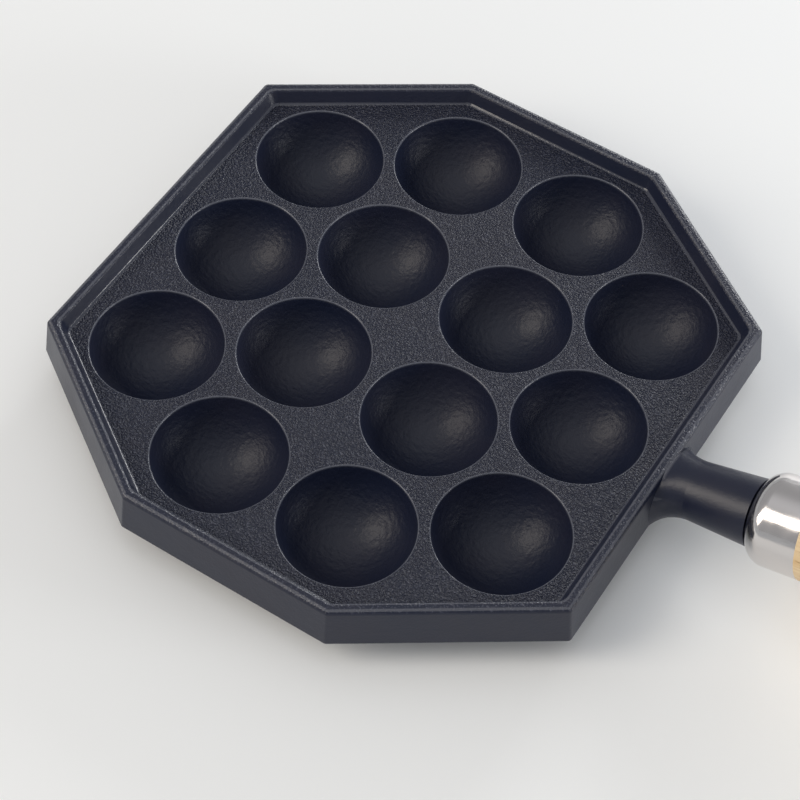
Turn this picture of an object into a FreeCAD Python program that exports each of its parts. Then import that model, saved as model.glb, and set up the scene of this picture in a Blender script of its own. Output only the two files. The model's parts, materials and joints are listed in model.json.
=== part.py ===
"""A cast-iron takoyaki pan: fourteen ball-shaped cups in an eight-sided plate, with a raised rim,
a skirt, and a turned wooden grip that a tie rod pulls against the cast socket.

Lengths are millimetres and angles degrees. X runs along the handle, Z is up, and the pan stands on
its cup feet at Z = 0. The origin is the middle of the whole part's footprint box.
"""
import FreeCAD, Part
import math
import os

import Sketcher
from FreeCAD import Placement, Rotation, Vector

doc = FreeCAD.newDocument("takoyaki_pan")

# Driving dimensions: the name of each cell, its value, and what it measures.
DRIVING = [
    ("cup_diameter", 40.0, "mouth of a cup at the plate"),
    ("cup_depth", 18.0, "plate down to the bottom of a cup"),
    ("cup_gap", 3.5, "plate left between the mouths of two neighbours"),
    ("cup_wall", 3.2, "iron around a cup"),
    ("cup_edge_round", 0.45, "radius on the lip of a cup"),
    ("foot_diameter", 10.0, "flat ground on the bottom of each cup bulge"),
    ("plate_thickness", 4.0, "plate between the cups"),
    ("rim_height", 4.7, "plate up to the top of the rim"),
    ("rim_land", 3.1, "flat top of the rim, before its edges are rounded"),
    ("rim_slope_width", 2.0, "how far the rim's inner face leans in on its way down"),
    ("rim_outer_round", 1.5, "radius on the rim's outer top edge"),
    ("rim_inner_round", 1.2, "radius on the rim's inner top edge"),
    ("tray_corner_round", 3.5, "radius in the upright corners inside the rim"),
    ("tray_floor_round", 1.0, "radius where the rim's inner face meets the plate"),
    ("end_margin", 9.8, "outermost cup to the edge, along the handle"),
    ("side_margin", 9.0, "outermost cup to the edge, across the handle"),
    ("corner_margin", 7.9, "corner cup to the slanting edge beside it"),
    ("corner_angle", 34.0, "slanting edges, measured from the handle's direction"),
    ("skirt_drop", 10.1, "plate down to the skirt's lower edge"),
    ("skirt_flare", 1.7, "how far the outer face leans out on its way down"),
    ("skirt_thickness", 3.4, "iron in the skirt"),
    ("skirt_bevel", 0.7, "bevel along the skirt's lower outer edge"),
    ("skirt_corner_round", 1.5, "radius on the eight upright edges"),
    ("socket_drop", 3.6, "plate down to the handle's axis, at the rim"),
    ("socket_length", 29.1, "rim's outer edge to the end of the socket, along the axis"),
    ("socket_diameter", 20.3, "socket at its end"),
    ("socket_neck_diameter", 17.7, "socket where the flare runs out"),
    ("flare_length", 9.5, "length of the flare between the rim and the neck"),
    ("flare_spread", 9.0, "how much wider the flare is than the neck, on each side"),
    ("flare_dip", 2.0, "how far the flare's top line drops at the wall, to pass under the rim"),
    ("flare_sag", 2.5, "how far the flare's widest place drops at the wall"),
    ("spigot_diameter", 12.0, "spigot that centres the ferrule and the grip"),
    ("spigot_length", 5.0, "length of that spigot"),
    ("handle_rise", 13.4, "upward slope of the handle"),
    ("rod_diameter", 8.0, "tie rod"),
    ("socket_thread_depth", 24.0, "tapped hole, from the end of the spigot"),
    ("ferrule_diameter", 27.6, "outside of the ferrule"),
    ("ferrule_length", 17.2, "length of the ferrule"),
    ("ferrule_wall", 0.8, "sheet that the ferrule is drawn from"),
    ("ferrule_nose_round", 6.0, "radius on the ferrule's front edge"),
    ("grip_length", 116.0, "wood that shows behind the ferrule"),
    ("grip_swell_diameter", 31.0, "thickest place of the grip"),
    ("grip_swell_place", 62.0, "ferrule's rear edge to the thickest place"),
    ("grip_butt_diameter", 26.5, "grip at its butt, before the edge is rounded"),
    ("grip_butt_round", 4.0, "radius on the butt's edge"),
    ("washer_diameter", 18.0, "flat washer under the nut"),
    ("washer_thickness", 1.6, "thickness of the flat washer"),
    ("spring_washer_diameter", 14.8, "spring washer"),
    ("spring_washer_thickness", 2.0, "thickness of the spring washer"),
    ("spring_washer_split", 1.2, "width of the cut through the spring washer"),
    ("nut_collar_diameter", 15.0, "round collar of the eye nut"),
    ("nut_collar_length", 10.0, "length of that collar"),
    ("nut_thread_depth", 8.0, "tapped hole in the collar"),
    ("nut_edge_break", 0.6, "small bevels and radii on the eye nut and the rod"),
    ("eye_width", 10.0, "tang that holds the eye, seen from the side"),
    ("eye_thickness", 5.0, "tang that holds the eye, seen from above"),
    ("ring_diameter", 28.0, "hanging ring, along the middle of its wire"),
    ("ring_wire", 3.0, "wire of the hanging ring"),
    ("ring_clearance", 0.45, "gap between the ring's wire and its eye"),
    ("thread_clearance", 0.05, "radial gap between the rod and its tapped holes"),
    ("bore_clearance", 0.25, "radial gap between the rod and what it passes through"),
    ("fit_clearance", 0.08, "gap where the ferrule slides over the spigot and the wood"),
    ("end_clearance", 0.5, "space left beyond the end of the rod or the spigot"),
]


def make_sheet():
    """Write the driving dimensions into a spreadsheet, one row each."""
    sheet = doc.addObject("Spreadsheet::Sheet", "Sizes")
    for row, (alias, value, meaning) in enumerate(DRIVING, start=1):
        sheet.set(f"A{row}", alias)
        sheet.set(f"B{row}", str(value))
        sheet.set(f"C{row}", meaning)
        sheet.setAlias(f"B{row}", alias)
    doc.recompute()
    return sheet


sheet = make_sheet()


def number(expression):
    """The present value of an expression in the sheet's names, as a plain number."""
    result = sheet.evalExpression(str(expression).replace("Sizes.", ""))
    return float(getattr(result, "Value", result))


# Two long rows of cups in the middle, and a shorter one at each end, set half a cup across.
INNER_ROW_CUPS = 4
OUTER_ROW_CUPS = 3

# Places that follow from the driving dimensions, as expressions.
CUP_RADIUS = "(Sizes.cup_diameter / 2)"
PITCH = "(Sizes.cup_diameter + Sizes.cup_gap)"
ROW_ANGLE = 30
ROW_STEP = f"({PITCH} * cos({ROW_ANGLE}))"
INNER_ROW_X = f"({PITCH} / 2)"
OUTER_ROW_X = f"({INNER_ROW_X} + {ROW_STEP})"
CUP_BALL = f"(({CUP_RADIUS} ^ 2 + Sizes.cup_depth ^ 2) / (2 * Sizes.cup_depth))"
BULGE_BALL = f"({CUP_BALL} + Sizes.cup_wall)"
FOOT_RADIUS = "(Sizes.foot_diameter / 2)"
BALL_Z = f"(sqrt({BULGE_BALL} ^ 2 - {FOOT_RADIUS} ^ 2))"
PLATE_Z = f"({BALL_Z} - {CUP_BALL} + Sizes.cup_depth)"
RIM_Z = f"({PLATE_Z} + Sizes.rim_height)"
SKIRT_Z = f"({PLATE_Z} - Sizes.skirt_drop)"
WALL_HEIGHT = "(Sizes.rim_height + Sizes.skirt_drop)"
SKIRT_DRAFT = f"(atan(Sizes.skirt_flare / {WALL_HEIGHT}))"
RIM_HALF_X = f"({OUTER_ROW_X} + {CUP_RADIUS} + Sizes.end_margin)"
RIM_HALF_Y = f"({(INNER_ROW_CUPS - 1) / 2} * {PITCH} + {CUP_RADIUS} + Sizes.side_margin)"
CORNER_REACH = (
    f"({OUTER_ROW_X} * sin(Sizes.corner_angle)"
    f" + {(OUTER_ROW_CUPS - 1) / 2} * {PITCH} * cos(Sizes.corner_angle)"
    f" + {CUP_RADIUS} + Sizes.corner_margin)"
)
FLARE_SIDE = f"(Sizes.skirt_flare * (1 - Sizes.skirt_bevel / {WALL_HEIGHT}))"

# Places along the handle's axis, counted from the end of the socket.
GRIP_END = "(Sizes.ferrule_length + Sizes.grip_length)"
NUT_START = f"({GRIP_END} + Sizes.washer_thickness + Sizes.spring_washer_thickness)"
EYE_PLACE = f"({NUT_START} + Sizes.nut_collar_length + Sizes.eye_width / 2)"
ROD_RADIUS = "(Sizes.rod_diameter / 2)"
THREAD_RADIUS = f"({ROD_RADIUS} + Sizes.thread_clearance)"
BORE_RADIUS = f"({ROD_RADIUS} + Sizes.bore_clearance)"
FERRULE_RADIUS = "(Sizes.ferrule_diameter / 2)"
FERRULE_BORE = f"({FERRULE_RADIUS} - Sizes.ferrule_wall)"

# The whole part reaches from the skirt's far side to the tip of the eye, and is centred between.
EYE_X = f"({RIM_HALF_X} + (Sizes.socket_length + {EYE_PLACE}) * cos(Sizes.handle_rise))"
EYE_Z = (
    f"({PLATE_Z} - Sizes.socket_drop"
    f" + (Sizes.socket_length + {EYE_PLACE}) * sin(Sizes.handle_rise))"
)
PAN_X = f"(({RIM_HALF_X} + {FLARE_SIDE} - {EYE_X} - Sizes.eye_width / 2) / 2)"


def bind(item, **expressions):
    """Tie properties of an object to expressions; a double underscore stands for a dot."""
    for name, expression in expressions.items():
        item.setExpression(name.replace("__", "."), str(expression))


def place_on_handle(item, along="0"):
    """Lay an object that was made along its own X axis on the handle's axis."""
    item.Placement = Placement(Vector(), Rotation(Vector(0, -1, 0), number("Sizes.handle_rise")))
    reach = f"(Sizes.socket_length + {along})"
    bind(
        item,
        Placement__Base__x=f"{PAN_X} + {RIM_HALF_X} + {reach} * cos(Sizes.handle_rise)",
        Placement__Base__z=f"{PLATE_Z} - Sizes.socket_drop + {reach} * sin(Sizes.handle_rise)",
        Placement__Rotation__Angle="Sizes.handle_rise",
    )


def new_body(name):
    """A body whose label is the name of the piece."""
    body = doc.addObject("PartDesign::Body", name)
    body.Label = name
    return body


def origin_part(body, role):
    """A plane or axis of the body's own origin, found by its role."""
    return next(item for item in body.Origin.OriginFeatures if item.Role == role)


def new_sketch(body, name, role, **offset):
    """A sketch on one of the body's origin planes, moved by expressions for x, y and z."""
    sketch = body.newObject("Sketcher::SketchObject", name)
    sketch.AttachmentSupport = [(origin_part(body, role), "")]
    sketch.MapMode = "FlatFace"
    for direction, expression in offset.items():
        sketch.setExpression(f"AttachmentOffset.Base.{direction}", expression)
    return sketch


def pin_point(sketch, line, end, x, y):
    """Hold one end of a line at a place given by two expressions, both zero or more."""
    for kind, axis, expression in (("DistanceX", -2, x), ("DistanceY", -1, y)):
        if expression == "0":
            sketch.addConstraint(Sketcher.Constraint("PointOnObject", line, end, axis))
            continue
        held = Sketcher.Constraint(kind, -1, 1, line, end, number(expression))
        index = sketch.addConstraint(held)
        sketch.setExpression(f"Constraints[{index}]", expression)


def draw_outline(sketch, points):
    """A closed outline of straight lines through points that are pairs of expressions."""
    corners = [Vector(number(x), number(y), 0) for x, y in points]
    count = len(corners)
    lines = [
        sketch.addGeometry(Part.LineSegment(corners[i], corners[(i + 1) % count]))
        for i in range(count)
    ]
    for i in range(count):
        sketch.addConstraint(Sketcher.Constraint("Coincident", lines[i - 1], 2, lines[i], 1))
    for line, (x, y) in zip(lines, points):
        pin_point(sketch, line, 1, x, y)
    return lines


def draw_octagon(sketch, inset):
    """The pan's eight-sided outline, moved in by an expression, and alike in all four quarters."""
    half_x = f"({RIM_HALF_X} - {inset})"
    half_y = f"({RIM_HALF_Y} - {inset})"
    reach = f"({CORNER_REACH} - {inset})"
    end_y = f"(({reach} - {half_x} * sin(Sizes.corner_angle)) / cos(Sizes.corner_angle))"
    side_x = f"(({reach} - {half_y} * cos(Sizes.corner_angle)) / sin(Sizes.corner_angle))"
    a, b, w, s = number(half_x), number(half_y), number(end_y), number(side_x)
    corners = [(a, w), (s, b), (-s, b), (-a, w), (-a, -w), (-s, -b), (s, -b), (a, -w)]
    vectors = [Vector(x, y, 0) for x, y in corners]
    for start, finish in zip(vectors, vectors[1:] + vectors[:1]):
        sketch.addGeometry(Part.LineSegment(start, finish))
    for line in range(8):
        sketch.addConstraint(Sketcher.Constraint("Coincident", (line - 1) % 8, 2, line, 1))
    mirrored_left_to_right = [(0, 3), (1, 2)]
    mirrored_front_to_back = [(0, 7), (1, 6), (3, 4), (2, 5)]
    for first, second in mirrored_left_to_right:
        sketch.addConstraint(Sketcher.Constraint("Symmetric", first, 1, second, 1, -2))
    for first, second in mirrored_front_to_back:
        sketch.addConstraint(Sketcher.Constraint("Symmetric", first, 1, second, 1, -1))
    pin_point(sketch, 0, 1, half_x, end_y)
    pin_point(sketch, 1, 1, side_x, half_y)


def edges_where(feature, wanted):
    """Names of the feature's edges that pass a test of their geometry."""
    found = [f"Edge{i}" for i, edge in enumerate(feature.Shape.Edges, start=1) if wanted(edge)]
    if not found:
        raise RuntimeError(f"no edge found on {feature.Name}")
    return found


def finish_edges(body, kind, name, wanted, **sizes):
    """Round or bevel the edges of the body's last feature that pass a test."""
    doc.recompute()
    base = body.Tip
    feature = body.newObject(f"PartDesign::{kind}", name)
    feature.Base = (base, edges_where(base, wanted))
    bind(feature, **sizes)
    body.Tip = feature
    doc.recompute()
    return feature


# Lengths closer than this count as the same when edges are picked.
SLACK = 0.01


def near(value, target):
    """True where two lengths are the same."""
    return abs(value - target) < SLACK


def lies_at(edge, height):
    """True where a whole edge lies at one height."""
    return near(edge.BoundBox.ZMin, height) and near(edge.BoundBox.ZMax, height)


def is_ring(edge, along, radius):
    """True for a whole circle around the body's X axis, at a place and with a radius."""
    curve = edge.Curve
    if not isinstance(curve, Part.Circle):
        return False
    return near(curve.Center.x, along) and near(curve.Radius, radius)


def spin(body, name, points, groove=False):
    """Turn an outline in the XZ plane around the body's X axis, to add or to remove metal."""
    sketch = new_sketch(body, name + "_outline", "XZ_Plane")
    draw_outline(sketch, points)
    kind = "PartDesign::Groove" if groove else "PartDesign::Revolution"
    feature = body.newObject(kind, name)
    feature.Profile = sketch
    feature.ReferenceAxis = (sketch, ["H_Axis"])
    feature.Angle = 360
    body.Tip = feature
    doc.recompute()
    return feature


# The pan's outside, before the tray and the cups: an eight-sided block with leaning walls.
def make_skirt_block():
    """The drafted eight-sided block, with its corners and edges finished."""
    body = new_body("skirt_block")
    sketch = new_sketch(body, "rim_outline", "XY_Plane", z=RIM_Z)
    draw_octagon(sketch, "0")
    pad = body.newObject("PartDesign::Pad", "wall_block")
    pad.Profile = sketch
    pad.Reversed = True
    bind(pad, Length=WALL_HEIGHT, TaperAngle=SKIRT_DRAFT)
    body.Tip = pad
    doc.recompute()
    top, bottom = number(RIM_Z), number(SKIRT_Z)
    finish_edges(
        body, "Fillet", "upright_edges",
        lambda edge: near(edge.BoundBox.ZLength, top - bottom),
        Radius="Sizes.skirt_corner_round",
    )
    finish_edges(
        body, "Chamfer", "lower_bevel", lambda edge: lies_at(edge, bottom),
        Size="Sizes.skirt_bevel",
    )
    finish_edges(
        body, "Fillet", "upper_round", lambda edge: lies_at(edge, top),
        Radius="Sizes.rim_outer_round",
    )
    return body


FLARE_SECTIONS = 7


def make_flare():
    """The flare between wall and socket: ovals whose width follows a quarter circle.

    At the wall their widest place drops and their top line dips, so that the flare spreads along
    the skirt's lower edge and passes under the rim.
    """
    neck_radius = "(Sizes.socket_neck_diameter / 2)"
    bury = "(Sizes.skirt_flare / 3)"
    sections = []
    for index in range(FLARE_SECTIONS):
        angle = 90 * index / (FLARE_SECTIONS - 1)
        along = f"((Sizes.flare_length + {bury}) * (1 - cos({angle})) - {bury})"
        nearness = f"(1 - sin({angle}))"
        half_width = f"({neck_radius} + Sizes.flare_spread * {nearness})"
        middle = f"(-Sizes.flare_sag * {nearness})"
        top = f"({neck_radius} - Sizes.flare_dip * {nearness})"
        oval = doc.addObject("Part::Ellipse", f"flare_section_{index + 1}")
        oval.Placement = Placement(Vector(), Rotation(Vector(1, 1, 1), 120))
        bind(
            oval,
            MajorRadius=half_width,
            MinorRadius=f"{top} - {middle}",
            Placement__Base__x=along,
            Placement__Base__z=middle,
        )
        sections.append(oval)
    doc.recompute()
    flare = doc.addObject("Part::Loft", "flare")
    flare.Sections = sections
    flare.Solid = True
    flare.Ruled = False
    return flare


def make_socket():
    """The cast socket: flare, cone and spigot on the handle's axis, with the tapped hole.

    Next to the wall its underside is level with the skirt's lower edge.
    """
    along_x = Rotation(Vector(0, 1, 0), 90)
    cone = doc.addObject("Part::Cone", "socket_cone")
    cone.Placement = Placement(Vector(), along_x)
    bind(
        cone,
        Radius1="Sizes.socket_neck_diameter / 2",
        Radius2="Sizes.socket_diameter / 2",
        Height="Sizes.socket_length - Sizes.flare_length",
        Placement__Base__x="Sizes.flare_length",
    )
    spigot = doc.addObject("Part::Cylinder", "socket_spigot")
    spigot.Placement = Placement(Vector(), along_x)
    bind(
        spigot,
        Radius="Sizes.spigot_diameter / 2",
        Height="Sizes.spigot_length",
        Placement__Base__x="Sizes.socket_length",
    )
    solid = doc.addObject("Part::MultiFuse", "socket_solid")
    solid.Shapes = [make_flare(), cone, spigot]
    solid.Refine = False
    hole = doc.addObject("Part::Cylinder", "socket_hole")
    hole.Placement = Placement(Vector(), along_x)
    bind(
        hole,
        Radius=THREAD_RADIUS,
        Height="Sizes.socket_thread_depth",
        Placement__Base__x="Sizes.socket_length + Sizes.spigot_length - Sizes.socket_thread_depth",
    )
    socket = doc.addObject("Part::Cut", "socket")
    socket.Base = solid
    socket.Tool = hole
    socket.Refine = False
    socket.Placement = Placement(Vector(), Rotation(Vector(0, -1, 0), number("Sizes.handle_rise")))
    bind(
        socket,
        Placement__Base__x=RIM_HALF_X,
        Placement__Base__z=f"{PLATE_Z} - Sizes.socket_drop",
        Placement__Rotation__Angle="Sizes.handle_rise",
    )
    below = doc.addObject("Part::Box", "space_below_skirt")
    width = "(Sizes.socket_neck_diameter + 4 * Sizes.flare_spread)"
    bind(
        below,
        Length="Sizes.socket_length + 2 * Sizes.skirt_thickness",
        Width=width,
        Height=SKIRT_Z,
        Placement__Base__x=f"{RIM_HALF_X} - 2 * Sizes.skirt_thickness",
        Placement__Base__y=f"-{width} / 2",
    )
    level = doc.addObject("Part::Cut", "level_socket")
    level.Base = socket
    level.Tool = below
    level.Refine = False
    doc.recompute()
    return level


def cut_tray(body):
    """Sink the shallow tray that the rim surrounds, and round its corners and edges."""
    sketch = new_sketch(body, "tray_outline", "XY_Plane", z=RIM_Z)
    draw_octagon(sketch, "Sizes.rim_land")
    pocket = body.newObject("PartDesign::Pocket", "tray")
    pocket.Profile = sketch
    bind(
        pocket,
        Length="Sizes.rim_height",
        TaperAngle="-atan(Sizes.rim_slope_width / Sizes.rim_height)",
    )
    body.Tip = pocket
    doc.recompute()
    floor, top = number(PLATE_Z), number(RIM_Z)

    def is_tray_corner(edge):
        box = edge.BoundBox
        return near(box.ZMin, floor) and near(box.ZMax, top) and abs(edge.CenterOfMass.y) > 1

    finish_edges(body, "Fillet", "tray_corners", is_tray_corner, Radius="Sizes.tray_corner_round")
    finish_edges(
        body, "Fillet", "tray_floor_edge", lambda edge: lies_at(edge, floor),
        Radius="Sizes.tray_floor_round",
    )
    slant = math.radians(number("Sizes.corner_angle"))
    limits = [number(f"{reach} - Sizes.rim_land") for reach in (RIM_HALF_X, RIM_HALF_Y, CORNER_REACH)]

    def is_inner_top_edge(edge):
        """True for an edge at the top that lies no further out than the tray's outline."""
        x, y = abs(edge.CenterOfMass.x), abs(edge.CenterOfMass.y)
        places = (x, y, x * math.sin(slant) + y * math.cos(slant))
        inside = all(place < limit + SLACK for place, limit in zip(places, limits))
        return lies_at(edge, top) and inside

    finish_edges(body, "Fillet", "rim_inner_edge", is_inner_top_edge, Radius="Sizes.rim_inner_round")


def hollow_underside(body):
    """Hollow the block from below, up to the plate and out to the skirt."""
    sketch = new_sketch(body, "hollow_outline", "XY_Plane", z=SKIRT_Z)
    draw_octagon(sketch, "(Sizes.skirt_thickness - Sizes.skirt_flare)")
    pocket = body.newObject("PartDesign::Pocket", "underside")
    pocket.Profile = sketch
    pocket.Reversed = True
    bind(pocket, Length="Sizes.skirt_drop - Sizes.plate_thickness", TaperAngle=f"-{SKIRT_DRAFT}")
    body.Tip = pocket
    doc.recompute()


# The rows of cups: a name, the row's place along the handle, and how many cups it holds.
ROWS = [
    ("near", OUTER_ROW_X, OUTER_ROW_CUPS),
    ("near_inner", INNER_ROW_X, INNER_ROW_CUPS),
    ("far_inner", f"(-{INNER_ROW_X})", INNER_ROW_CUPS),
    ("far", f"(-{OUTER_ROW_X})", OUTER_ROW_CUPS),
]


def repeat_along_row(body, feature, count):
    """Repeat a bulge or a cup along its row, one pitch apart."""
    row = body.newObject("PartDesign::LinearPattern", feature.Name + "_row")
    row.Originals = [feature]
    row.Direction = (origin_part(body, "Y_Axis"), [""])
    row.Occurrences = count
    bind(row, Length=f"{count - 1} * {PITCH}")
    body.Tip = row
    doc.recompute()


def draw_ball_outline(sketch, ball, mouth, low, high):
    """Half a ball's outline between two heights: flat at its foot and straight across its top."""
    foot = math.sqrt(max(number(ball) ** 2 - (number(BALL_Z) - number(low)) ** 2, 0.0))
    radius, centre = number(ball), number(BALL_Z)
    start = math.atan2(number(low) - centre, foot)
    finish = math.atan2(number(high) - centre, number(mouth))
    circle = Part.Circle(Vector(0, centre, 0), Vector(0, 0, 1), radius)
    arc = sketch.addGeometry(Part.ArcOfCircle(circle, start, finish))
    corner = Vector(number(mouth), number(high), 0)
    across = sketch.addGeometry(Part.LineSegment(corner, Vector(0, number(high), 0)))
    axis = sketch.addGeometry(Part.LineSegment(Vector(0, number(high), 0), Vector(0, number(low), 0)))
    pieces = [arc, across, axis]
    if foot > 0.01:
        base = Part.LineSegment(Vector(0, number(low), 0), Vector(foot, number(low), 0))
        pieces.append(sketch.addGeometry(base))
    for first, second in zip(pieces, pieces[1:] + pieces[:1]):
        sketch.addConstraint(Sketcher.Constraint("Coincident", first, 2, second, 1))
    sketch.addConstraint(Sketcher.Constraint("PointOnObject", arc, 3, -2))
    sketch.addConstraint(Sketcher.Constraint("Horizontal", across))
    sketch.addConstraint(Sketcher.Constraint("PointOnObject", axis, 1, -2))
    sketch.addConstraint(Sketcher.Constraint("PointOnObject", axis, 2, -2))
    if foot > 0.01:
        sketch.addConstraint(Sketcher.Constraint("Horizontal", pieces[-1]))
    held = [
        (Sketcher.Constraint("Radius", arc, radius), ball),
        (Sketcher.Constraint("DistanceY", -1, 1, arc, 3, centre), BALL_Z),
        (Sketcher.Constraint("DistanceY", -1, 1, across, 2, number(high)), high),
    ]
    for constraint, expression in held:
        index = sketch.addConstraint(constraint)
        sketch.setExpression(f"Constraints[{index}]", expression)
    return pieces


def add_bulges(body):
    """The ball-shaped bulges under the plate, each ground flat where it stands."""
    top = f"({PLATE_Z} - Sizes.plate_thickness / 2)"
    mouth = f"(sqrt({BULGE_BALL} ^ 2 - ({BALL_Z} - {top}) ^ 2))"
    for name, place, count in ROWS:
        first = f"(-{(count - 1) / 2} * {PITCH})"
        sketch = new_sketch(body, name + "_bulge_outline", "XZ_Plane", x=place, z=f"(-{first})")
        pieces = draw_ball_outline(sketch, BULGE_BALL, mouth, "0", top)
        sketch.addConstraint(Sketcher.Constraint("PointOnObject", pieces[-1], 1, -1))
        bulge = body.newObject("PartDesign::Revolution", name + "_bulge")
        bulge.Profile = sketch
        bulge.ReferenceAxis = (sketch, ["V_Axis"])
        bulge.Angle = 360
        body.Tip = bulge
        doc.recompute()
        repeat_along_row(body, bulge, count)


def cut_cups(body):
    """The cups themselves: part of a ball sunk into the plate and its bulge."""
    bottom = f"({PLATE_Z} - Sizes.cup_depth)"
    for name, place, count in ROWS:
        first = f"(-{(count - 1) / 2} * {PITCH})"
        sketch = new_sketch(body, name + "_cup_outline", "XZ_Plane", x=place, z=f"(-{first})")
        draw_ball_outline(sketch, CUP_BALL, CUP_RADIUS, bottom, PLATE_Z)
        cup = body.newObject("PartDesign::Groove", name + "_cup")
        cup.Profile = sketch
        cup.ReferenceAxis = (sketch, ["V_Axis"])
        cup.Angle = 360
        body.Tip = cup
        doc.recompute()
        repeat_along_row(body, cup, count)


def make_pan_casting():
    """The one casting: rim, plate, skirt, cups and socket."""
    block = make_skirt_block()
    socket = make_socket()
    joined = doc.addObject("Part::Fuse", "rough_casting")
    joined.Base = block
    joined.Tool = socket
    joined.Refine = False
    doc.recompute()
    body = new_body("pan_casting")
    body.BaseFeature = joined
    doc.recompute()
    cut_tray(body)
    hollow_underside(body)
    add_bulges(body)
    cut_cups(body)
    floor, radius = number(PLATE_Z), number(CUP_RADIUS)
    finish_edges(
        body, "Fillet", "cup_lips",
        lambda edge: lies_at(edge, floor) and isinstance(edge.Curve, Part.Circle)
        and near(edge.Curve.Radius, radius),
        Radius="Sizes.cup_edge_round",
    )
    bind(body, Placement__Base__x=PAN_X)
    return body


def make_ferrule():
    """The drawn ferrule: a thin cup with a round nose and a hole for the spigot."""
    body = new_body("ferrule")
    hole = "(Sizes.spigot_diameter / 2 + Sizes.fit_clearance)"
    spin(body, "ferrule_shell", [
        ("0", hole),
        ("0", FERRULE_RADIUS),
        ("Sizes.ferrule_length", FERRULE_RADIUS),
        ("Sizes.ferrule_length", FERRULE_BORE),
        ("Sizes.ferrule_wall", FERRULE_BORE),
        ("Sizes.ferrule_wall", hole),
    ])
    finish_edges(
        body, "Fillet", "nose_outside", lambda edge: is_ring(edge, 0, number(FERRULE_RADIUS)),
        Radius="Sizes.ferrule_nose_round",
    )
    finish_edges(
        body, "Fillet", "nose_inside",
        lambda edge: is_ring(edge, number("Sizes.ferrule_wall"), number(FERRULE_BORE)),
        Radius="Sizes.ferrule_nose_round - Sizes.ferrule_wall",
    )
    place_on_handle(body)
    return body


def make_wooden_grip():
    """The turned grip: a tenon in the ferrule, a gentle swell, and a bore for the rod."""
    body = new_body("wooden_grip")
    sketch = new_sketch(body, "grip_outline", "XZ_Plane")
    tenon = f"({FERRULE_BORE} - Sizes.fit_clearance)"
    swell_x = "(Sizes.ferrule_length + Sizes.grip_swell_place)"
    swell_r = "(Sizes.grip_swell_diameter / 2)"
    butt_r = "(Sizes.grip_butt_diameter / 2)"
    recess_r = "(Sizes.spigot_diameter / 2 + Sizes.bore_clearance)"
    recess_x = "(Sizes.spigot_length + Sizes.end_clearance)"
    points = [
        (swell_x, swell_r),
        (GRIP_END, butt_r),
        (GRIP_END, BORE_RADIUS),
        (recess_x, BORE_RADIUS),
        (recess_x, recess_r),
        ("Sizes.ferrule_wall", recess_r),
        ("Sizes.ferrule_wall", tenon),
        ("Sizes.ferrule_length", tenon),
        ("Sizes.ferrule_length", FERRULE_RADIUS),
    ]
    corners = [Vector(number(x), number(y), 0) for x, y in points]

    def swell_arc(start, finish):
        """An arc that is level at the thickest place."""
        top, other = (start, finish) if start is corners[0] else (finish, start)
        rise = top.y - other.y
        reach = top.x - other.x
        radius = (rise ** 2 + reach ** 2) / (2 * rise)
        centre = Vector(top.x, top.y - radius, 0)
        circle = Part.Circle(centre, Vector(0, 0, 1), abs(radius))
        angles = [math.atan2(p.y - centre.y, p.x - centre.x) for p in (finish, start)]
        return Part.ArcOfCircle(circle, min(angles), max(angles))

    rear = sketch.addGeometry(swell_arc(corners[0], corners[1]))
    lines = [
        sketch.addGeometry(Part.LineSegment(corners[i], corners[i + 1]))
        for i in range(1, len(corners) - 1)
    ]
    front = sketch.addGeometry(swell_arc(corners[-1], corners[0]))
    for first, second in zip(lines, lines[1:]):
        sketch.addConstraint(Sketcher.Constraint("Coincident", first, 2, second, 1))
    bulging = number(swell_r) > max(number(butt_r), number(FERRULE_RADIUS))
    rear_top, rear_low = (2, 1) if bulging or corners[0].y > corners[1].y else (1, 2)
    front_top, front_low = (1, 2) if bulging or corners[0].y > corners[-1].y else (2, 1)
    joins = [
        (rear, rear_low, lines[0], 1),
        (front, front_low, lines[-1], 2),
        (rear, rear_top, front, front_top),
    ]
    for first, first_end, second, second_end in joins:
        sketch.addConstraint(Sketcher.Constraint("Coincident", first, first_end, second, second_end))
    pin_point(sketch, rear, rear_top, swell_x, swell_r)
    for line, (x, y) in zip(lines, points[1:]):
        pin_point(sketch, line, 1, x, y)
    pin_point(sketch, lines[-1], 2, *points[-1])
    for arc in (rear, front):
        index = sketch.addConstraint(
            Sketcher.Constraint("DistanceX", -1, 1, arc, 3, number(swell_x))
        )
        sketch.setExpression(f"Constraints[{index}]", swell_x)
    wood = body.newObject("PartDesign::Revolution", "grip_wood")
    wood.Profile = sketch
    wood.ReferenceAxis = (sketch, ["H_Axis"])
    wood.Angle = 360
    body.Tip = wood
    finish_edges(
        body, "Fillet", "tenon_nose",
        lambda edge: is_ring(edge, number("Sizes.ferrule_wall"), number(tenon)),
        Radius="Sizes.ferrule_nose_round - Sizes.ferrule_wall",
    )
    finish_edges(
        body, "Fillet", "butt_round",
        lambda edge: is_ring(edge, number(GRIP_END), number(butt_r)),
        Radius="Sizes.grip_butt_round",
    )
    place_on_handle(body)
    return body


def make_tie_rod():
    """The rod from the bottom of the socket's hole, through the grip, into the eye nut."""
    body = new_body("tie_rod")
    start = "(Sizes.spigot_length - Sizes.socket_thread_depth + Sizes.end_clearance)"
    finish = f"({NUT_START} + Sizes.nut_thread_depth - Sizes.end_clearance)"
    length = f"({finish} - {start})"
    spin(body, "rod", [("0", "0"), ("0", ROD_RADIUS), (length, ROD_RADIUS), (length, "0")])
    finish_edges(
        body, "Chamfer", "rod_ends",
        lambda edge: is_ring(edge, 0, number(ROD_RADIUS))
        or is_ring(edge, number(length), number(ROD_RADIUS)),
        Size="Sizes.nut_edge_break",
    )
    place_on_handle(body, start)
    return body


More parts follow.
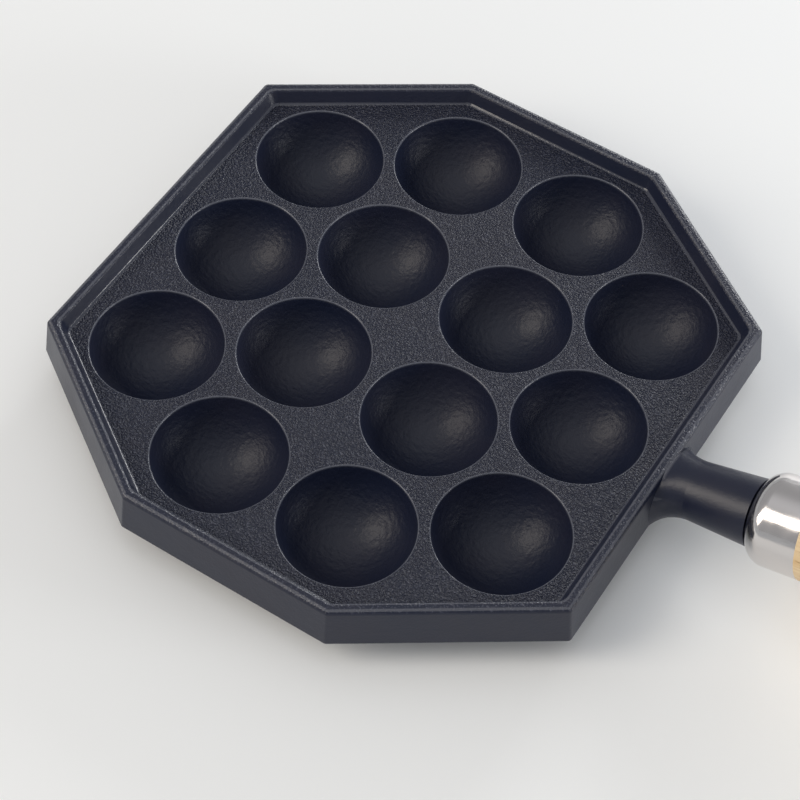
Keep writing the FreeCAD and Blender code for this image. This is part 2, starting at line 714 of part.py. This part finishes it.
def make_flat_washer():
    """The flat washer that spreads the nut's pull over the end grain."""
    body = new_body("flat_washer")
    outer = "(Sizes.washer_diameter / 2)"
    thickness = "Sizes.washer_thickness"
    spin(body, "washer", [
        ("0", BORE_RADIUS), ("0", outer), (thickness, outer), (thickness, BORE_RADIUS),
    ])
    place_on_handle(body, GRIP_END)
    return body


def make_spring_washer():
    """The split washer that keeps the rod tight as the wood shrinks, drawn pressed flat."""
    body = new_body("spring_washer")
    outer = "(Sizes.spring_washer_diameter / 2)"
    thickness = "Sizes.spring_washer_thickness"
    spin(body, "split_ring", [
        ("0", BORE_RADIUS), ("0", outer), (thickness, outer), (thickness, BORE_RADIUS),
    ])
    sketch = new_sketch(body, "split_outline", "XY_Plane")
    split = "Sizes.spring_washer_split"
    lean = f"({thickness} / 2)"
    draw_outline(sketch, [
        ("0", "0"), ("0", split), (thickness, f"{split} + {lean}"), (thickness, lean),
    ])
    cut = body.newObject("PartDesign::Pocket", "split")
    cut.Profile = sketch
    cut.Reversed = True
    bind(cut, Length="Sizes.spring_washer_diameter")
    body.Tip = cut
    doc.recompute()
    place_on_handle(body, f"({GRIP_END} + Sizes.washer_thickness)")
    return body


def make_eye_nut():
    """The nut on the rod's end: a round collar, and a flat tang with the eye for the ring."""
    body = new_body("eye_nut")
    collar = "(Sizes.nut_collar_diameter / 2)"
    length = "Sizes.nut_collar_length"
    half = "(Sizes.eye_width / 2)"
    eye_x = f"({length} + {half})"
    spin(body, "collar", [("0", "0"), ("0", collar), (length, collar), (length, "0")])
    finish_edges(
        body, "Chamfer", "collar_edges",
        lambda edge: is_ring(edge, 0, number(collar)) or is_ring(edge, number(length), number(collar)),
        Size="Sizes.nut_edge_break",
    )
    sketch = new_sketch(body, "tang_outline", "XZ_Plane")
    radius, middle = number(half), number(eye_x)
    root = number(f"{length} / 2")
    circle = Part.Circle(Vector(middle, 0, 0), Vector(0, 0, 1), radius)
    arc = sketch.addGeometry(Part.ArcOfCircle(circle, -math.pi / 2, math.pi / 2))
    ends = [Vector(middle, radius, 0), Vector(root, radius, 0), Vector(root, -radius, 0),
            Vector(middle, -radius, 0)]
    top, back, low = [
        sketch.addGeometry(Part.LineSegment(a, b)) for a, b in zip(ends, ends[1:])
    ]
    sketch.addConstraint([
        Sketcher.Constraint("Tangent", arc, 2, top, 1),
        Sketcher.Constraint("Coincident", top, 2, back, 1),
        Sketcher.Constraint("Coincident", back, 2, low, 1),
        Sketcher.Constraint("Tangent", low, 2, arc, 1),
        Sketcher.Constraint("Horizontal", top),
        Sketcher.Constraint("Vertical", back),
        Sketcher.Constraint("PointOnObject", arc, 3, -1),
    ])
    held = [
        (Sketcher.Constraint("Radius", arc, radius), half),
        (Sketcher.Constraint("DistanceX", -1, 1, arc, 3, middle), eye_x),
        (Sketcher.Constraint("DistanceX", -1, 1, back, 1, root), f"{length} / 2"),
    ]
    for constraint, expression in held:
        index = sketch.addConstraint(constraint)
        sketch.setExpression(f"Constraints[{index}]", expression)
    tang = body.newObject("PartDesign::Pad", "tang")
    tang.Profile = sketch
    tang.Midplane = True
    bind(tang, Length="Sizes.eye_thickness")
    body.Tip = tang
    doc.recompute()
    eye = new_sketch(body, "eye_outline", "XZ_Plane")
    eye_radius = "(Sizes.ring_wire / 2 + Sizes.ring_clearance)"
    hole_circle = Part.Circle(Vector(middle, 0, 0), Vector(0, 0, 1), number(eye_radius))
    hole = eye.addGeometry(hole_circle)
    eye.addConstraint(Sketcher.Constraint("PointOnObject", hole, 3, -1))
    for constraint, expression in [
        (Sketcher.Constraint("Radius", hole, number(eye_radius)), eye_radius),
        (Sketcher.Constraint("DistanceX", -1, 1, hole, 3, middle), eye_x),
    ]:
        index = eye.addConstraint(constraint)
        eye.setExpression(f"Constraints[{index}]", expression)
    pocket = body.newObject("PartDesign::Pocket", "eye")
    pocket.Profile = eye
    pocket.Type = "ThroughAll"
    pocket.Midplane = True
    body.Tip = pocket
    doc.recompute()
    depth = "Sizes.nut_thread_depth"
    spin(body, "thread_hole", [
        ("0", "0"), ("0", THREAD_RADIUS), (depth, THREAD_RADIUS), (depth, "0"),
    ], groove=True)

    def is_eye_edge(edge):
        curve = edge.Curve
        return isinstance(curve, Part.Circle) and near(curve.Radius, number(eye_radius))

    finish_edges(body, "Fillet", "eye_lips", is_eye_edge, Radius="Sizes.nut_edge_break")
    place_on_handle(body, NUT_START)
    return body


def make_hanging_ring():
    """The wire ring, hanging straight down from the eye."""
    ring = doc.addObject("Part::Torus", "hanging_ring")
    ring.Label = "hanging_ring"
    ring.Placement = Placement(Vector(), Rotation(Vector(0, 1, 0), 90))
    bind(
        ring,
        Radius1="Sizes.ring_diameter / 2",
        Radius2="Sizes.ring_wire / 2",
        Placement__Base__x=f"{PAN_X} + {EYE_X}",
        Placement__Base__z=f"{EYE_Z} - Sizes.ring_diameter / 2",
    )
    return ring


def check_and_export(pieces):
    """Stop on anything that failed, then write one file for each piece."""
    doc.recompute()
    for item in doc.Objects:
        if "Invalid" in item.State or "Error" in item.State:
            raise RuntimeError(f"{item.Name} failed: {item.State}")
    for piece in pieces:
        shape = piece.Shape
        if shape.isNull() or not shape.isValid() or len(shape.Solids) != 1:
            raise RuntimeError(f"{piece.Label} is not one valid solid")
    os.makedirs("parts", exist_ok=True)
    for piece in pieces:
        shape = piece.Shape
        shape.exportStep(f"parts/{piece.Label}.step")
        box = shape.BoundBox
        print(
            f"{piece.Label}: {shape.Volume / 1000:.2f} cm3,"
            f" x {box.XMin:.2f} to {box.XMax:.2f},"
            f" y {box.YMin:.2f} to {box.YMax:.2f},"
            f" z {box.ZMin:.2f} to {box.ZMax:.2f}"
        )


check_and_export([
    make_pan_casting(),
    make_ferrule(),
    make_wooden_grip(),
    make_tie_rod(),
    make_flat_washer(),
    make_spring_washer(),
    make_eye_nut(),
    make_hanging_ring(),
])
print(f"eye of the hanging ring: x {number(f'{PAN_X} + {EYE_X}'):.3f}, z {number(EYE_Z):.3f}")
print(f"pan centre: x {number(PAN_X):.3f}, plate top: z {number(PLATE_Z):.3f}")
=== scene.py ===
# %% [markdown]
# # A cast-iron takoyaki pan, dressed for its portrait
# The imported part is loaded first, as a fixed frame in metres. Everything below is placed from it:
# the pan stands on Z = 0, its handle runs along +X, and +Z is up. Nothing else is read from disk.

# %% Load the frame
import json
import math

import bpy
import numpy as np
from mathutils import Matrix, Vector

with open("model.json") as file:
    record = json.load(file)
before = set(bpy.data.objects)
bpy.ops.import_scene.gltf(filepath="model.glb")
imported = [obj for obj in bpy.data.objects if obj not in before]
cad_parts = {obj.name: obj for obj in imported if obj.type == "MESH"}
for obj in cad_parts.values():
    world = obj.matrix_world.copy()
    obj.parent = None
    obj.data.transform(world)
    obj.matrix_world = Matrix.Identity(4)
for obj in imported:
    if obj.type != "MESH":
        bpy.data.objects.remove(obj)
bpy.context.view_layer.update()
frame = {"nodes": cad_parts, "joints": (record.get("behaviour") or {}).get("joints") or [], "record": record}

MM = 0.001

# %% [markdown]
# ## Places read from the frame
# The record states the hinge of the hanging ring and the openings that have to stay free. The
# openings of the cups give the middle of every cup, and the tray's gives the level of the plate.
# Four more places on the casting, which the patterns need, are no fields of the record and are
# named here: the cups' radius, the level of the rim, the side with the handle, and its slope.

# %% Read the pan's own places
TRAY_CLEARANCE = 0.1 * MM
openings = {row["name"]: row["box_m"] for row in frame["record"]["physics"]["openings"]}
cup_boxes = np.array([box for name, box in openings.items() if "_cup_" in name])
cup_centres = cup_boxes[:, :, :2].mean(axis=1)
pan_x = float(cup_centres[:, 0].mean())
tray_low = openings["tray"][0]
PLATE_Z = tray_low[2] - TRAY_CLEARANCE
pan_middle = Vector((pan_x, 0.0, PLATE_Z))
eye = Vector(frame["joints"][0]["pos_m"])

CUP_RADIUS = 20.0 * MM
RIM_Z = PLATE_Z + 4.7 * MM
HANDLE_SIDE_X = pan_x + 89.2 * MM
HANDLE_RISE = math.radians(13.4)
print("cups:", len(cup_centres))
print("pan centre x:", round(pan_x / MM, 2), "plate z:", round(PLATE_Z / MM, 2))

# %% [markdown]
# ## Small helpers for colour and nodes
# Blender's sockets want linear light, while a colour picker gives sRGB hex, so one function turns
# one into the other. Another adds any node with its settings and links, which keeps each material
# below down to what it says about the real surface. A Mix node lists its sockets for numbers,
# vectors and colours one after another under the same names, so its colour sockets go by number.

# %% Colours and nodes
MIX_FACTOR, MIX_FIRST, MIX_SECOND, MIX_COLOUR = 0, 6, 7, 2


def linear(hex_code):
    """sRGB hex to linear RGBA: v / 12.92 up to 0.04045, else ((v + 0.055) / 1.055) ** 2.4."""
    parts = np.array([int(hex_code[i:i + 2], 16) / 255 for i in (1, 3, 5)])
    low = parts / 12.92
    high = ((parts + 0.055) / 1.055) ** 2.4
    return (*np.where(parts <= 0.04045, low, high).tolist(), 1.0)


def add(tree, kind, inputs, output=0, **settings):
    """Add one node and give back one of its outputs.

    An input that is another node's output becomes a link, and any other is the socket's value.
    """
    node = tree.nodes.new(kind)
    for name, value in settings.items():
        setattr(node, name, value)
    for name, value in inputs.items():
        if isinstance(value, bpy.types.NodeSocket):
            tree.links.new(value, node.inputs[name])
        else:
            node.inputs[name].default_value = value
    return node.outputs[output]


def new_material(name, **surface):
    """A material with one Principled shader, whose plain values are set on its own sockets."""
    material = bpy.data.materials.new(name)
    material.use_nodes = True
    tree = material.node_tree
    shader = tree.nodes["Principled BSDF"]
    for socket, value in surface.items():
        shader.inputs[socket.replace("_", " ")].default_value = value
    return material, tree, shader


# %% [markdown]
# ## Zones of the casting
# Sand-cast iron doesn't look the same all over. The plate between the cups and the flat top of the
# rim keep the mould's grit, while the cups, the slopes and the outside are smoother. Hands, picks
# and cloths rub the film off the cups' lips and the rim's upper edges, but the paler grey on these
# and on the foot of the rim's slope is mostly painted highlight, thin lines for the shine they catch.
# These zones could be painted on by hand, but here each one is worked out from three measures of
# a point: its height, its level distance from the nearest cup, and the tilt of its face, which is
# 1 where the face looks up and 0 where it is upright. Near the top, only a rounded edge has a tilt
# just short of 1. The socket rises past the rim, so the rim's zones end where the handle begins.


# %% Where a zone begins and ends
def distance_from_cups(tree, where):
    """The level distance from a point to the nearest cup's middle: the least of the fourteen."""
    level = add(
        tree, "ShaderNodeVectorMath", {0: where, 1: (1.0, 1.0, 0.0)}, operation="MULTIPLY"
    )
    distances = [
        add(tree, "ShaderNodeVectorMath", {0: level, 1: (x, y, 0.0)}, "Value", operation="DISTANCE")
        for x, y in cup_centres.tolist()
    ]
    nearest = distances[0]
    for distance in distances[1:]:
        nearest = add(tree, "ShaderNodeMath", {0: nearest, 1: distance}, operation="MINIMUM")
    return nearest


def zone(tree, *steps):
    """A pattern that is 1 where all its steps are passed: the steps' product.

    Each step is (value, start, end) and goes smoothly from 0 at start to 1 at end.
    """
    product = None
    for value, start, end in steps:
        step = add(
            tree, "ShaderNodeMapRange",
            {"Value": value, "From Min": start, "From Max": end},
            interpolation_type="SMOOTHSTEP",
        )
        if product is None:
            product = step
        else:
            product = add(tree, "ShaderNodeMath", {0: product, 1: step}, operation="MULTIPLY")
    return product


def between(value, low, high, soft):
    """The two steps of a band: up across low and down across high, each 2 * soft wide."""
    return (value, low - soft, low + soft), (value, high + soft, high - soft)


# %% The zones
def iron_zones(tree, where):
    """Each zone of the casting as a pattern that is 1 inside it and 0 outside."""
    along = add(tree, "ShaderNodeSeparateXYZ", {"Vector": where}, "X")
    height = add(tree, "ShaderNodeSeparateXYZ", {"Vector": where}, "Z")
    facing = add(tree, "ShaderNodeTexCoord", {}, "Normal")
    tilt = add(tree, "ShaderNodeSeparateXYZ", {"Vector": facing}, "Z")
    reach = distance_from_cups(tree, where)

    outside_cups = (reach, CUP_RADIUS - 0.1 * MM, CUP_RADIUS + 0.5 * MM)
    not_handle = (along, HANDLE_SIDE_X + 1.0 * MM, HANDLE_SIDE_X)
    plate_level = between(height, PLATE_Z - 0.3 * MM, PLATE_Z + 0.4 * MM, 0.15 * MM)
    slope_foot = between(height, PLATE_Z, PLATE_Z + 0.9 * MM, 0.05 * MM)
    return {
        "outside_cups": zone(tree, outside_cups),
        "lips": zone(tree, *between(reach, CUP_RADIUS - 0.05 * MM, CUP_RADIUS + 0.3 * MM, 0.12 * MM)),
        "plate": zone(tree, *plate_level, outside_cups, (tilt, 0.85, 0.98)),
        "rim_top": zone(tree, (height, RIM_Z - 1.0 * MM, RIM_Z - 0.3 * MM), not_handle),
        "rim_edges": zone(
            tree, *between(tilt, 0.80, 0.985, 0.01), (height, RIM_Z - 1.0 * MM, RIM_Z - 0.6 * MM),
            not_handle,
        ),
        "slope_foot": zone(tree, *between(tilt, 0.55, 0.97, 0.02), *slope_foot),
    }


# %% [markdown]
# ## Cast iron, seasoned
# Baked-on oil gives the iron a dark blue-black film with a satin shine, which is thinnest where it is
# rubbed. Iron under oil is not a bare metal to the eye, so the shader stays a dielectric with a dark
# colour. The peaks of the grit are a paler grey: painted sparkle highlights, on tips where the film
# also wears thin. The grit is about 0.6 mm across and lies over softer lumps of 1.7 mm and a swell of
# 11 mm. Each is a bump with a depth in millimetres, and the grit's is several times the real one,
# because a true depth wouldn't show from where the camera stands.


# %% Cast iron material
def iron_colour(tree, zones, grain, stains):
    """Blue-black film with paler greys by zone, each by its share: painted highlights, partly wear."""
    gritty = add(
        tree, "ShaderNodeMath", {0: zones["plate"], 1: zones["rim_top"]}, operation="MAXIMUM"
    )
    # The grit's peaks: a painted sparkle highlight, on tips where the film also wears thin.
    tops = zone(tree, (grain, 0.55, 0.68))
    peaks = add(tree, "ShaderNodeMath", {0: tops, 1: gritty}, operation="MULTIPLY")
    colour = add(
        tree, "ShaderNodeMix",
        {
            MIX_FACTOR: zone(tree, (stains, 0.3, 0.7)),
            MIX_FIRST: linear("#131a2f"),
            MIX_SECOND: linear("#1b1e30"),
        },
        MIX_COLOUR, data_type="RGBA",
    )
    # Paler greys: painted highlights, on the lips and the grit's peaks also where the film wears off.
    worn_and_highlit = (
        (peaks, 0.6, "#4e5160"),
        (zones["lips"], 0.75, "#62656f"),
        (zones["slope_foot"], 0.4, "#5c5e66"),
        (zones["rim_edges"], 0.6, "#62646c"),
    )
    for pattern, share, grey in worn_and_highlit:
        amount = add(tree, "ShaderNodeMath", {0: pattern, 1: share}, operation="MULTIPLY")
        colour = add(
            tree, "ShaderNodeMix",
            {MIX_FACTOR: amount, MIX_FIRST: colour, MIX_SECOND: linear(grey)},
            MIX_COLOUR, data_type="RGBA",
        )
    return colour


def iron_roughness(tree, zones, stains):
    """0.42 to 0.48, less 0.16 where rubbed, 0.02 on the plate, and 0.10 on the rim and sides."""
    film = add(
        tree, "ShaderNodeMapRange",
        {"Value": stains, "From Min": 0.25, "From Max": 0.75, "To Min": 0.42, "To Max": 0.48},
        interpolation_type="SMOOTHSTEP",
    )
    rubbed = zones["lips"]
    for edge in ("rim_edges", "slope_foot"):
        rubbed = add(tree, "ShaderNodeMath", {0: rubbed, 1: zones[edge]}, operation="MAXIMUM")
    worn_and_highlit = add(
        tree, "ShaderNodeMath", {0: rubbed, 1: -0.16, 2: film}, operation="MULTIPLY_ADD"
    )
    sides = add(
        tree, "ShaderNodeMath", {0: zones["plate"], 1: 0.02 - 0.10, 2: 0.10},
        operation="MULTIPLY_ADD",
    )
    smoother = add(
        tree, "ShaderNodeMath", {0: sides, 1: zones["outside_cups"]}, operation="MULTIPLY"
    )
    return add(tree, "ShaderNodeMath", {0: worn_and_highlit, 1: smoother}, operation="SUBTRACT")


def iron_relief(tree, zones, where, grain):
    """Three bumps on one another: the swell, the lumps, full only in the cups, and the grit."""
    swell = add(tree, "ShaderNodeTexNoise", {"Vector": where, "Scale": 1 / (11 * MM), "Detail": 1.0})
    lumps = add(tree, "ShaderNodeTexNoise", {"Vector": where, "Scale": 1 / (1.7 * MM), "Detail": 2.0})
    in_cups = add(
        tree, "ShaderNodeMath", {0: zones["outside_cups"], 1: -0.8, 2: 1.0},
        operation="MULTIPLY_ADD",
    )
    on_plate = add(
        tree, "ShaderNodeMath", {0: zones["plate"], 1: 0.95, 2: 0.05}, operation="MULTIPLY_ADD"
    )
    gritty = add(
        tree, "ShaderNodeMath", {0: zones["rim_top"], 1: 0.3, 2: on_plate}, operation="MULTIPLY_ADD"
    )
    below = {}
    for pattern, depth, strength in (
        (swell, 0.12 * MM, 1.0), (lumps, 0.22 * MM, in_cups), (grain, 1.3 * MM, gritty)
    ):
        bump = {"Height": pattern, "Distance": depth, "Strength": strength, **below}
        below = {"Normal": add(tree, "ShaderNodeBump", bump)}
    return below["Normal"]


def cast_iron():
    """Seasoned cast iron: gritty on the plate, finer on the rim, smooth in the cups and outside."""
    material, tree, shader = new_material("seasoned_cast_iron", IOR=1.46)
    where = add(tree, "ShaderNodeTexCoord", {}, "Object")
    zones = iron_zones(tree, where)
    grain = add(
        tree, "ShaderNodeTexNoise",
        {"Vector": where, "Scale": 1 / (0.62 * MM), "Detail": 1.5, "Roughness": 0.6},
    )
    stains = add(
        tree, "ShaderNodeTexNoise",
        {"Vector": where, "Scale": 1 / (26 * MM), "Detail": 4.0, "Roughness": 0.6},
    )
    tree.links.new(iron_colour(tree, zones, grain, stains), shader.inputs["Base Color"])
    tree.links.new(iron_roughness(tree, zones, stains), shader.inputs["Roughness"])
    tree.links.new(iron_relief(tree, zones, where, grain), shader.inputs["Normal"])
    return material


iron = cast_iron()
print(iron.name, len(iron.node_tree.nodes), "nodes")

# %% [markdown]
# ## The handle's own direction
# The ferrule, the grip and the rod's hardware lie on one sloping line, and their marks run round
# it or along it. Patterns on plain object coordinates would cross the handle at a slant, so these
# pieces get coordinates that start at the ring's eye and slope as the handle does.


# %% Coordinates along the handle
def handle_coordinates(tree):
    """Object coordinates turned so that X runs along the handle and the axis is Y = Z = 0."""
    where = add(tree, "ShaderNodeTexCoord", {}, "Object")
    return add(
        tree, "ShaderNodeMapping",
        {"Vector": where, "Location": eye, "Rotation": (0.0, -HANDLE_RISE, 0.0)},
        vector_type="TEXTURE",
    )


# %% [markdown]
# ## Polished ferrule and plated hardware
# The ferrule is stainless steel, drawn to a cup and buffed while it turns, so what little texture
# it has runs round it: noise that is stretched across the handle, so that it hardly changes on the
# way round. The wheel's real lines are a few hundredths of a millimetre apart. They are drawn at a
# quarter of a millimetre, so that they show. The rod's hardware is zinc-plated, and duller.


# %% Steel materials
def polished_steel():
    """Buffed stainless steel: roughness 0.10 to 0.17 in smears, and very fine rings."""
    material, tree, shader = new_material(
        "buffed_stainless_steel", Base_Color=linear("#d6d2d0"), Metallic=1.0
    )
    where = handle_coordinates(tree)
    round_it = add(
        tree, "ShaderNodeVectorMath", {0: where, 1: (1.0, 0.02, 0.02)}, operation="MULTIPLY"
    )
    rings = add(
        tree, "ShaderNodeTexNoise", {"Vector": round_it, "Scale": 1 / (0.25 * MM), "Detail": 2.0}
    )
    wiped = add(
        tree, "ShaderNodeVectorMath", {0: where, 1: (1.0, 0.4, 0.4)}, operation="MULTIPLY"
    )
    smears = add(
        tree, "ShaderNodeTexNoise", {"Vector": wiped, "Scale": 1 / (4 * MM), "Detail": 3.0}
    )
    roughness = add(
        tree, "ShaderNodeMapRange",
        {"Value": smears, "From Min": 0.3, "From Max": 0.7, "To Min": 0.10, "To Max": 0.17},
        interpolation_type="SMOOTHSTEP",
    )
    normal = add(tree, "ShaderNodeBump", {"Height": rings, "Distance": 0.004 * MM, "Strength": 1.0})
    tree.links.new(roughness, shader.inputs["Roughness"])
    tree.links.new(normal, shader.inputs["Normal"])
    return material


def plated_steel():
    """Zinc-plated steel: satin, roughness 0.24 to 0.38 in blooms, with faint turning marks."""
    material, tree, shader = new_material(
        "plated_steel", Base_Color=linear("#b9bab8"), Metallic=1.0
    )
    where = handle_coordinates(tree)
    round_it = add(
        tree, "ShaderNodeVectorMath", {0: where, 1: (1.0, 0.05, 0.05)}, operation="MULTIPLY"
    )
    marks = add(
        tree, "ShaderNodeTexNoise", {"Vector": round_it, "Scale": 1 / (0.3 * MM), "Detail": 2.0}
    )
    bloom = add(tree, "ShaderNodeTexNoise", {"Vector": where, "Scale": 1 / (5 * MM), "Detail": 3.0})
    roughness = add(
        tree, "ShaderNodeMapRange",
        {"Value": bloom, "From Min": 0.3, "From Max": 0.7, "To Min": 0.24, "To Max": 0.38},
        interpolation_type="SMOOTHSTEP",
    )
    normal = add(tree, "ShaderNodeBump", {"Height": marks, "Distance": 0.01 * MM, "Strength": 1.0})
    tree.links.new(roughness, shader.inputs["Roughness"])
    tree.links.new(normal, shader.inputs["Normal"])
    return material


buffed, plated = polished_steel(), plated_steel()
print(buffed.name, plated.name)

# %% [markdown]
# ## Turned beech
# The grip is turned beech under a little oil: pale, with broad growth bands, fibres that run its
# length and short darker flecks. Each is the same noise at its own size, stretched along the grip.
# Real flecks are thinner than 0.6 mm and are drawn that wide so that they show.


# %% Wood material
def turned_beech():
    """Oiled beech: each darker colour is laid over the last by how far its pattern has risen."""
    material, tree, shader = new_material("turned_beech")
    where = handle_coordinates(tree)
    patterns = {}
    for name, stretch, size, detail, distortion in (
        ("bands", 0.06, 4.0 * MM, 3.0, 0.4),
        ("fibres", 0.03, 0.35 * MM, 2.0, 0.0),
        ("flecks", 0.25, 0.6 * MM, 1.0, 0.0),
    ):
        drawn_out = add(
            tree, "ShaderNodeVectorMath", {0: where, 1: (stretch, 1.0, 1.0)}, operation="MULTIPLY"
        )
        patterns[name] = add(
            tree, "ShaderNodeTexNoise",
            {"Vector": drawn_out, "Scale": 1 / size, "Detail": detail, "Distortion": distortion},
        )
    wood = linear("#f0d6ac")
    for name, start, end, share, brown in (
        ("bands", 0.35, 0.68, 1.0, "#dfbc88"),
        ("fibres", 0.45, 0.75, 0.5, "#c79c68"),
        ("flecks", 0.66, 0.74, 0.6, "#96683c"),
    ):
        amount = add(
            tree, "ShaderNodeMapRange",
            {"Value": patterns[name], "From Min": start, "From Max": end, "To Max": share},
            interpolation_type="SMOOTHSTEP",
        )
        wood = add(
            tree, "ShaderNodeMix",
            {MIX_FACTOR: amount, MIX_FIRST: wood, MIX_SECOND: linear(brown)},
            MIX_COLOUR, data_type="RGBA",
        )
    roughness = add(
        tree, "ShaderNodeMapRange",
        {"Value": patterns["fibres"], "From Min": 0.3, "From Max": 0.8, "To Min": 0.40, "To Max": 0.55},
        interpolation_type="SMOOTHSTEP",
    )
    normal = add(
        tree, "ShaderNodeBump",
        {"Height": patterns["fibres"], "Distance": 0.03 * MM, "Strength": 1.0},
    )
    tree.links.new(wood, shader.inputs["Base Color"])
    tree.links.new(roughness, shader.inputs["Roughness"])
    tree.links.new(normal, shader.inputs["Normal"])
    return material


beech = turned_beech()
print(beech.name, len(beech.node_tree.nodes), "nodes")

# %% [markdown]
# ## Give every CAD node its finish
# The CAD solids already have their true shape, so they keep it and only change material. The nodes
# that aren't named here are the tie rod, its washers and nut, and the ring: all plated steel.

# %% Assign materials
finishes = {"pan_casting": iron, "ferrule": buffed, "wooden_grip": beech}
for name, piece in frame["nodes"].items():
    slots = piece.data.materials
    slots.clear()
    slots.append(finishes.get(name, plated))
    print(name, len(piece.data.polygons), "triangles,", slots[0].name)

# %% [markdown]
# ## Table
# The pan lies on a plain white table. A flat plane would end in a hard line in a low view, so this
# one large sheet curves up far away on every side, and low views end in a pale slope.

# %% Table
TABLE_HALF, TABLE_LINES = 6.0, 61
FLAT_REACH, CURVE, BACK_HEIGHT = 4.5, 0.6, 1.3


def make_table():
    """A square sheet: its height is CURVE times the square of how far a point lies past FLAT_REACH.

    The distance is measured from the middle, and the height stops at BACK_HEIGHT.
    """
    across = np.linspace(-TABLE_HALF, TABLE_HALF, TABLE_LINES)
    grid_x, grid_y = np.meshgrid(across, across)
    beyond = np.clip(np.hypot(grid_x, grid_y) - FLAT_REACH, 0.0, None)
    grid_z = np.minimum(CURVE * beyond ** 2, BACK_HEIGHT)
    points = np.stack([grid_x, grid_y, grid_z], axis=-1).reshape(-1, 3)
    cells = np.arange(TABLE_LINES - 1)
    first = (cells[:, None] * TABLE_LINES + cells).ravel()
    corners = (first, first + 1, first + TABLE_LINES + 1, first + TABLE_LINES)
    mesh = bpy.data.meshes.new("table_top")
    mesh.from_pydata(points.tolist(), [], np.stack(corners, axis=1).tolist())
    mesh.polygons.foreach_set("use_smooth", np.ones(len(first), bool))
    table = bpy.data.objects.new("table_top", mesh)
    bpy.context.scene.collection.objects.link(table)
    return table


def white_laminate():
    """Matt white laminate: two whites a shade apart, in clouds of 400 mm."""
    material, tree, shader = new_material("white_laminate", Roughness=0.55)
    where = add(tree, "ShaderNodeTexCoord", {}, "Object")
    cloud = add(tree, "ShaderNodeTexNoise", {"Vector": where, "Scale": 1 / (400 * MM), "Detail": 1.0})
    white = add(
        tree, "ShaderNodeMix",
        {MIX_FACTOR: cloud, MIX_FIRST: linear("#f3f5f6"), MIX_SECOND: linear("#f6f8f8")},
        MIX_COLOUR, data_type="RGBA",
    )
    tree.links.new(white, shader.inputs["Base Color"])
    return material


table = make_table()
table.data.materials.append(white_laminate())
print(table.name, len(table.data.polygons), "faces")

# %% [markdown]
# ## Light
# Most of the light is an even sky, brighter overhead, in place of a room's walls and ceiling. Three
# windows shape it. The one on the left stands high, and its reflection is the warm spot in each
# cup. The ones on the right and behind are low, so they graze the plate and light the edges that
# face them, and reach little deeper into the cups than their upper walls.


# %% Lamps and sky
def add_softbox(name, turn, rise, distance, width, tall, radiance, colour):
    """An area lamp that faces the pan, placed by its bearing and height angle, both in degrees.

    Its power is its radiance times its area times pi.
    """
    turn, rise = math.radians(turn), math.radians(rise)
    level = math.cos(rise)
    towards = Vector((level * math.cos(turn), level * math.sin(turn), math.sin(rise)))
    lamp = bpy.data.lights.new(name, "AREA")
    lamp.shape = "RECTANGLE"
    lamp.size = width
    lamp.size_y = tall
    lamp.energy = radiance * math.pi * width * tall
    lamp.color = linear(colour)[:3]
    item = bpy.data.objects.new(name, lamp)
    item.location = pan_middle + towards * distance
    item.rotation_euler = towards.to_track_quat("Z", "Y").to_euler()
    bpy.context.scene.collection.objects.link(item)
    print(name, [round(v, 2) for v in item.location], f"{lamp.energy:.1f} W")


def make_sky(horizon, zenith):
    """Radiance that rises smoothly from horizon to zenith, from 45 degrees up to straight above."""
    world = bpy.data.worlds.new("white_room")
    world.use_nodes = True
    tree = world.node_tree
    direction = add(tree, "ShaderNodeTexCoord", {}, "Generated")
    height = add(tree, "ShaderNodeSeparateXYZ", {"Vector": direction}, "Z")
    level = add(
        tree, "ShaderNodeMapRange",
        {"Value": height, "From Min": 0.7, "From Max": 1.0, "To Min": horizon, "To Max": zenith},
        interpolation_type="SMOOTHSTEP",
    )
    background = tree.nodes["Background"]
    background.inputs["Color"].default_value = linear("#f8f9fc")
    tree.links.new(level, background.inputs["Strength"])
    bpy.context.scene.world = world


add_softbox("window_left", -136, 36, 1.5, 0.60, 1.10, 5.0, "#fff5e8")
add_softbox("window_right", 17, 9.5, 1.0, 0.31, 0.31, 14.0, "#ffffff")
add_softbox("window_back", 92, 16, 1.2, 0.40, 0.40, 10.0, "#ffffff")
make_sky(horizon=0.42, zenith=0.90)

# %% [markdown]
# ## Camera
# The photograph's camera was worked out from the fourteen round cup mouths, which are ellipses in
# the picture, and the rim's eight corners. It stands 0.67 m from the pan, 55 degrees above the
# table, with a long lens and a little roll.

# %% Camera
FOCAL_PIXELS, FRAME_PIXELS, SENSOR_MM = 2249.8, 800, 36.0
CAMERA_FROM_PAN = Vector((200.97, -345.78, 536.65)) * MM
CAMERA_RIGHT = Vector((0.84393, 0.53582, 0.02605))
CAMERA_FORWARD = Vector((-0.28943, 0.49567, -0.81887))


def make_camera():
    """A camera whose lens in mm is its focal length, in picture widths, times the sensor's width."""
    camera = bpy.data.cameras.new("table_camera")
    camera.sensor_width = SENSOR_MM
    camera.lens = FOCAL_PIXELS / FRAME_PIXELS * SENSOR_MM
    item = bpy.data.objects.new("table_camera", camera)
    up = CAMERA_RIGHT.cross(CAMERA_FORWARD)
    turn = Matrix((CAMERA_RIGHT, up, -CAMERA_FORWARD)).transposed()
    item.matrix_world = Matrix.Translation(pan_middle + CAMERA_FROM_PAN) @ turn.to_4x4()
    bpy.context.scene.collection.objects.link(item)
    return item


camera = make_camera()
bpy.context.scene.camera = camera
bpy.context.scene.view_settings.view_transform = "Standard"
print("lens:", round(camera.data.lens, 2), "mm")
